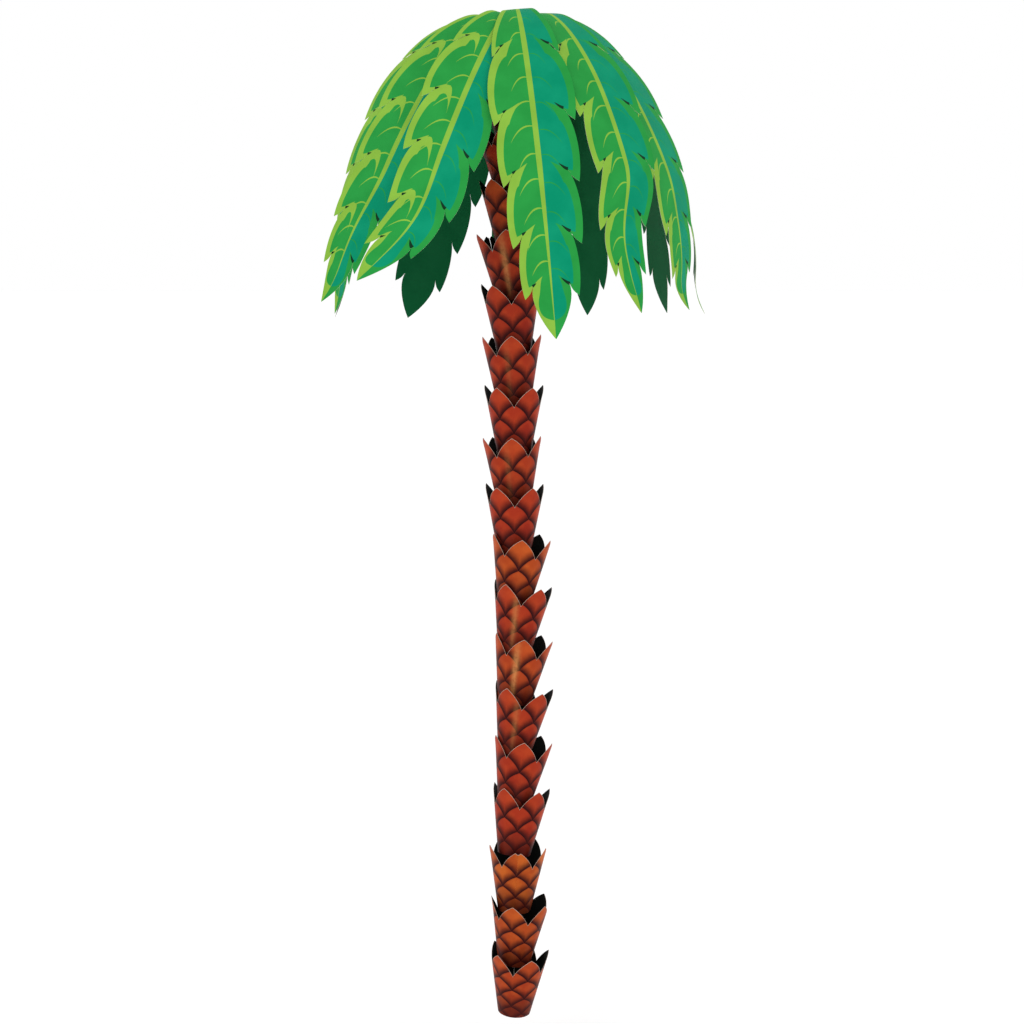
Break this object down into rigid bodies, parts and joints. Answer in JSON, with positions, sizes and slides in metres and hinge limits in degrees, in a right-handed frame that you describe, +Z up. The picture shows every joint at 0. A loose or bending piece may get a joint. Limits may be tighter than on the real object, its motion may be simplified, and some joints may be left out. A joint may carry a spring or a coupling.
{
  "type": "hanging palm tree decoration",
  "caption": "Hanging card palm tree: drooping lobed fronds clamped in a round hub over a trunk of flared, scalloped sleeves strung on one line.",
  "frame": {"origin": "centre of the hanging eyelet's bore in the hub's top disc", "axes": "+Z up along the eyelet's bore and the trunk, +X to the right seen from the front, -Y towards the front"},
  "size_m": [0.9124, 0.9034, 2.4311],
  "materials": {
    "frond_print": "satin printed card",
    "sleeve_print": "satin printed card",
    "plain_card": "matt card",
    "hub_card": "satin card",
    "eyelet_metal": "bright plated",
    "line_cord": "twisted thread",
    "bead_plastic": "gloss"
  },
  "bodies": {
    "crown": {"hub_top_disc": "hub_card", "hub_spacers": "plain_card", "hub_bottom_disc": "hub_card", "hanging_eyelet": "eyelet_metal", "line_eyelet": "eyelet_metal", "hub_brads": "eyelet_metal", "frond_tabs": "frond_print"},
    "trunk_line": {"hang_line": "line_cord", "line_beads": "bead_plastic"},
    "frond_01_body": {"frond_01": "frond_print"},
    "frond_02_body": {"frond_02": "frond_print"},
    "frond_03_body": {"frond_03": "frond_print"},
    "frond_04_body": {"frond_04": "frond_print"},
    "frond_05_body": {"frond_05": "frond_print"},
    "frond_06_body": {"frond_06": "frond_print"},
    "frond_07_body": {"frond_07": "frond_print"},
    "frond_08_body": {"frond_08": "frond_print"},
    "frond_09_body": {"frond_09": "frond_print"},
    "frond_10_body": {"frond_10": "frond_print"},
    "frond_11_body": {"frond_11": "frond_print"},
    "frond_12_body": {"frond_12": "frond_print"},
    "sleeve_01_body": {"sleeve_01": "sleeve_print", "strap_01": "plain_card"},
    "sleeve_02_body": {"sleeve_02": "sleeve_print", "strap_02": "plain_card"},
    "sleeve_03_body": {"sleeve_03": "sleeve_print", "strap_03": "plain_card"},
    "sleeve_04_body": {"sleeve_04": "sleeve_print", "strap_04": "plain_card"},
    "sleeve_05_body": {"sleeve_05": "sleeve_print", "strap_05": "plain_card"},
    "sleeve_06_body": {"sleeve_06": "sleeve_print", "strap_06": "plain_card"},
    "sleeve_07_body": {"sleeve_07": "sleeve_print", "strap_07": "plain_card"},
    "sleeve_08_body": {"sleeve_08": "sleeve_print", "strap_08": "plain_card"},
    "sleeve_09_body": {"sleeve_09": "sleeve_print", "strap_09": "plain_card"},
    "sleeve_10_body": {"sleeve_10": "sleeve_print", "strap_10": "plain_card"},
    "sleeve_11_body": {"sleeve_11": "sleeve_print", "strap_11": "plain_card"},
    "sleeve_12_body": {"sleeve_12": "sleeve_print", "strap_12": "plain_card"},
    "sleeve_13_body": {"sleeve_13": "sleeve_print", "strap_13": "plain_card"},
    "sleeve_14_body": {"sleeve_14": "sleeve_print", "strap_14": "plain_card"},
    "sleeve_15_body": {"sleeve_15": "sleeve_print", "strap_15": "plain_card"},
    "sleeve_16_body": {"sleeve_16": "sleeve_print", "strap_16": "plain_card"},
    "sleeve_17_body": {"sleeve_17": "sleeve_print", "strap_17": "plain_card"},
    "sleeve_18_body": {"sleeve_18": "sleeve_print", "strap_18": "plain_card"}
  },
  "joints": [
    {"name": "trunk_swing", "type": "hinge", "parent": "crown", "child": "trunk_line", "pos_m": [0, 0, -0.025], "axis": [0, -1, 0], "range_deg": [-12, 12]},
    {"name": "frond_01_bob", "type": "hinge", "parent": "crown", "child": "frond_01_body", "pos_m": [0.00419, -0.05985, -0.0013], "axis": [-0.9938, -0.0695, -0.0872], "range_deg": [-1.5, 6], "stiffness_Nm_per_rad": 1, "springref_deg": 7.93},
    {"name": "frond_02_bob", "type": "hinge", "parent": "crown", "child": "frond_02_body", "pos_m": [0.03694, -0.04728, -0.0045], "axis": [-0.7861, -0.6142, -0.0698], "range_deg": [-2, 2], "stiffness_Nm_per_rad": 1, "springref_deg": 7.1},
    {"name": "frond_03_bob", "type": "hinge", "parent": "crown", "child": "frond_03_body", "pos_m": [0.05196, -0.03, -0.0077], "axis": [-0.4938, -0.8554, -0.1564], "range_deg": [-3, 2], "stiffness_Nm_per_rad": 1, "springref_deg": 7.01},
    {"name": "frond_04_bob", "type": "hinge", "parent": "crown", "child": "frond_04_body", "pos_m": [0.05992, -0.00314, -0.0109], "axis": [-0.0512, -0.9768, -0.2079], "range_deg": [-3, 2.5], "stiffness_Nm_per_rad": 1, "springref_deg": 7.64},
    {"name": "frond_05_bob", "type": "hinge", "parent": "crown", "child": "frond_05_body", "pos_m": [0.05563, 0.02248, -0.0141], "axis": [0.365, -0.9034, -0.225], "range_deg": [-3.5, 3.5], "stiffness_Nm_per_rad": 1, "springref_deg": 7.82},
    {"name": "frond_06_bob", "type": "hinge", "parent": "crown", "child": "frond_06_body", "pos_m": [0.04015, 0.04459, -0.0173], "axis": [0.7211, -0.6493, -0.2419], "range_deg": [-4, 4], "stiffness_Nm_per_rad": 1, "springref_deg": 7.72},
    {"name": "frond_07_bob", "type": "hinge", "parent": "crown", "child": "frond_07_body", "pos_m": [0.01854, 0.05706, -0.0205], "axis": [0.9228, -0.2998, -0.2419], "range_deg": [-5, 4.5], "stiffness_Nm_per_rad": 1, "springref_deg": 7.68},
    {"name": "frond_08_bob", "type": "hinge", "parent": "crown", "child": "frond_08_body", "pos_m": [-0.01247, 0.05869, -0.0237], "axis": [0.9448, 0.2008, -0.2588], "range_deg": [-6, 6], "stiffness_Nm_per_rad": 1, "springref_deg": 7.76},
    {"name": "frond_09_bob", "type": "hinge", "parent": "crown", "child": "frond_09_body", "pos_m": [-0.05977, 0.00523, -0.0173], "axis": [0.0846, 0.9666, 0.2419], "range_deg": [-6, 6], "stiffness_Nm_per_rad": 1, "springref_deg": 7.59},
    {"name": "frond_10_bob", "type": "hinge", "parent": "crown", "child": "frond_10_body", "pos_m": [-0.05196, -0.03, -0.0141], "axis": [-0.4782, 0.8282, 0.2924], "range_deg": [-6, 6], "stiffness_Nm_per_rad": 1, "springref_deg": 6.23},
    {"name": "frond_11_bob", "type": "hinge", "parent": "crown", "child": "frond_11_body", "pos_m": [-0.03179, -0.05088, -0.0109], "axis": [-0.8065, 0.504, 0.309], "range_deg": [-6, 5], "stiffness_Nm_per_rad": 1, "springref_deg": 6.67},
    {"name": "frond_12_bob", "type": "hinge", "parent": "crown", "child": "frond_12_body", "pos_m": [-0.01042, -0.05909, -0.0077], "axis": [-0.9366, 0.1651, 0.309], "range_deg": [-4, 1.5], "stiffness_Nm_per_rad": 1, "springref_deg": 6.43},
    {"name": "sleeve_01_tilt", "type": "hinge", "parent": "trunk_line", "child": "sleeve_01_body", "pos_m": [0, 0, -0.272], "axis": [0, 1, 0], "range_deg": [-8, 3.5]},
    {"name": "sleeve_02_tilt", "type": "hinge", "parent": "trunk_line", "child": "sleeve_02_body", "pos_m": [0, 0, -0.396], "axis": [0, 1, 0], "range_deg": [-1, 8]},
    {"name": "sleeve_03_tilt", "type": "hinge", "parent": "trunk_line", "child": "sleeve_03_body", "pos_m": [0, 0, -0.52], "axis": [0, 1, 0], "range_deg": [-4.5, 3]},
    {"name": "sleeve_04_tilt", "type": "hinge", "parent": "trunk_line", "child": "sleeve_04_body", "pos_m": [0, 0, -0.644], "axis": [0, 1, 0], "range_deg": [-0.5, 8]},
    {"name": "sleeve_05_tilt", "type": "hinge", "parent": "trunk_line", "child": "sleeve_05_body", "pos_m": [0, 0, -0.768], "axis": [0, 1, 0], "range_deg": [-5, 6.5]},
    {"name": "sleeve_06_tilt", "type": "hinge", "parent": "trunk_line", "child": "sleeve_06_body", "pos_m": [0, 0, -0.892], "axis": [0, 1, 0], "range_deg": [-5.5, 8]},
    {"name": "sleeve_07_tilt", "type": "hinge", "parent": "trunk_line", "child": "sleeve_07_body", "pos_m": [0, 0, -1.01228], "axis": [0, 1, 0], "range_deg": [-7, 5.5]},
    {"name": "sleeve_08_tilt", "type": "hinge", "parent": "trunk_line", "child": "sleeve_08_body", "pos_m": [0, 0, -1.1338], "axis": [0, 1, 0], "range_deg": [-4.5, 8]},
    {"name": "sleeve_09_tilt", "type": "hinge", "parent": "trunk_line", "child": "sleeve_09_body", "pos_m": [0, 0, -1.25036], "axis": [0, 1, 0], "range_deg": [-0.5, 4.5]},
    {"name": "sleeve_10_tilt", "type": "hinge", "parent": "trunk_line", "child": "sleeve_10_body", "pos_m": [0, 0, -1.37312], "axis": [0, 1, 0], "range_deg": [-1, 0]},
    {"name": "sleeve_11_tilt", "type": "hinge", "parent": "trunk_line", "child": "sleeve_11_body", "pos_m": [0, 0, -1.49216], "axis": [0, 1, 0], "range_deg": [-2, 0]},
    {"name": "sleeve_12_tilt", "type": "hinge", "parent": "trunk_line", "child": "sleeve_12_body", "pos_m": [0, 0, -1.61864], "axis": [0, 1, 0], "range_deg": [-1.5, 0.5]},
    {"name": "sleeve_13_tilt", "type": "hinge", "parent": "trunk_line", "child": "sleeve_13_body", "pos_m": [0, 0, -1.74264], "axis": [0, 1, 0], "range_deg": [-2.5, 0.5]},
    {"name": "sleeve_14_tilt", "type": "hinge", "parent": "trunk_line", "child": "sleeve_14_body", "pos_m": [0, 0, -1.87036], "axis": [0, 1, 0], "range_deg": [-4.5, 0.5]},
    {"name": "sleeve_15_tilt", "type": "hinge", "parent": "trunk_line", "child": "sleeve_15_body", "pos_m": [0, 0, -1.9956], "axis": [0, 1, 0], "range_deg": [-8, 1]},
    {"name": "sleeve_16_tilt", "type": "hinge", "parent": "trunk_line", "child": "sleeve_16_body", "pos_m": [0, 0, -2.13696], "axis": [0, 1, 0], "range_deg": [-4, 5.5]},
    {"name": "sleeve_17_tilt", "type": "hinge", "parent": "trunk_line", "child": "sleeve_17_body", "pos_m": [0, 0, -2.2684], "axis": [0, 1, 0], "range_deg": [-6.5, 1]},
    {"name": "sleeve_18_tilt", "type": "hinge", "parent": "trunk_line", "child": "sleeve_18_body", "pos_m": [0, 0, -2.39488], "axis": [0, 1, 0], "range_deg": [-8, 1.5]}
  ]
}
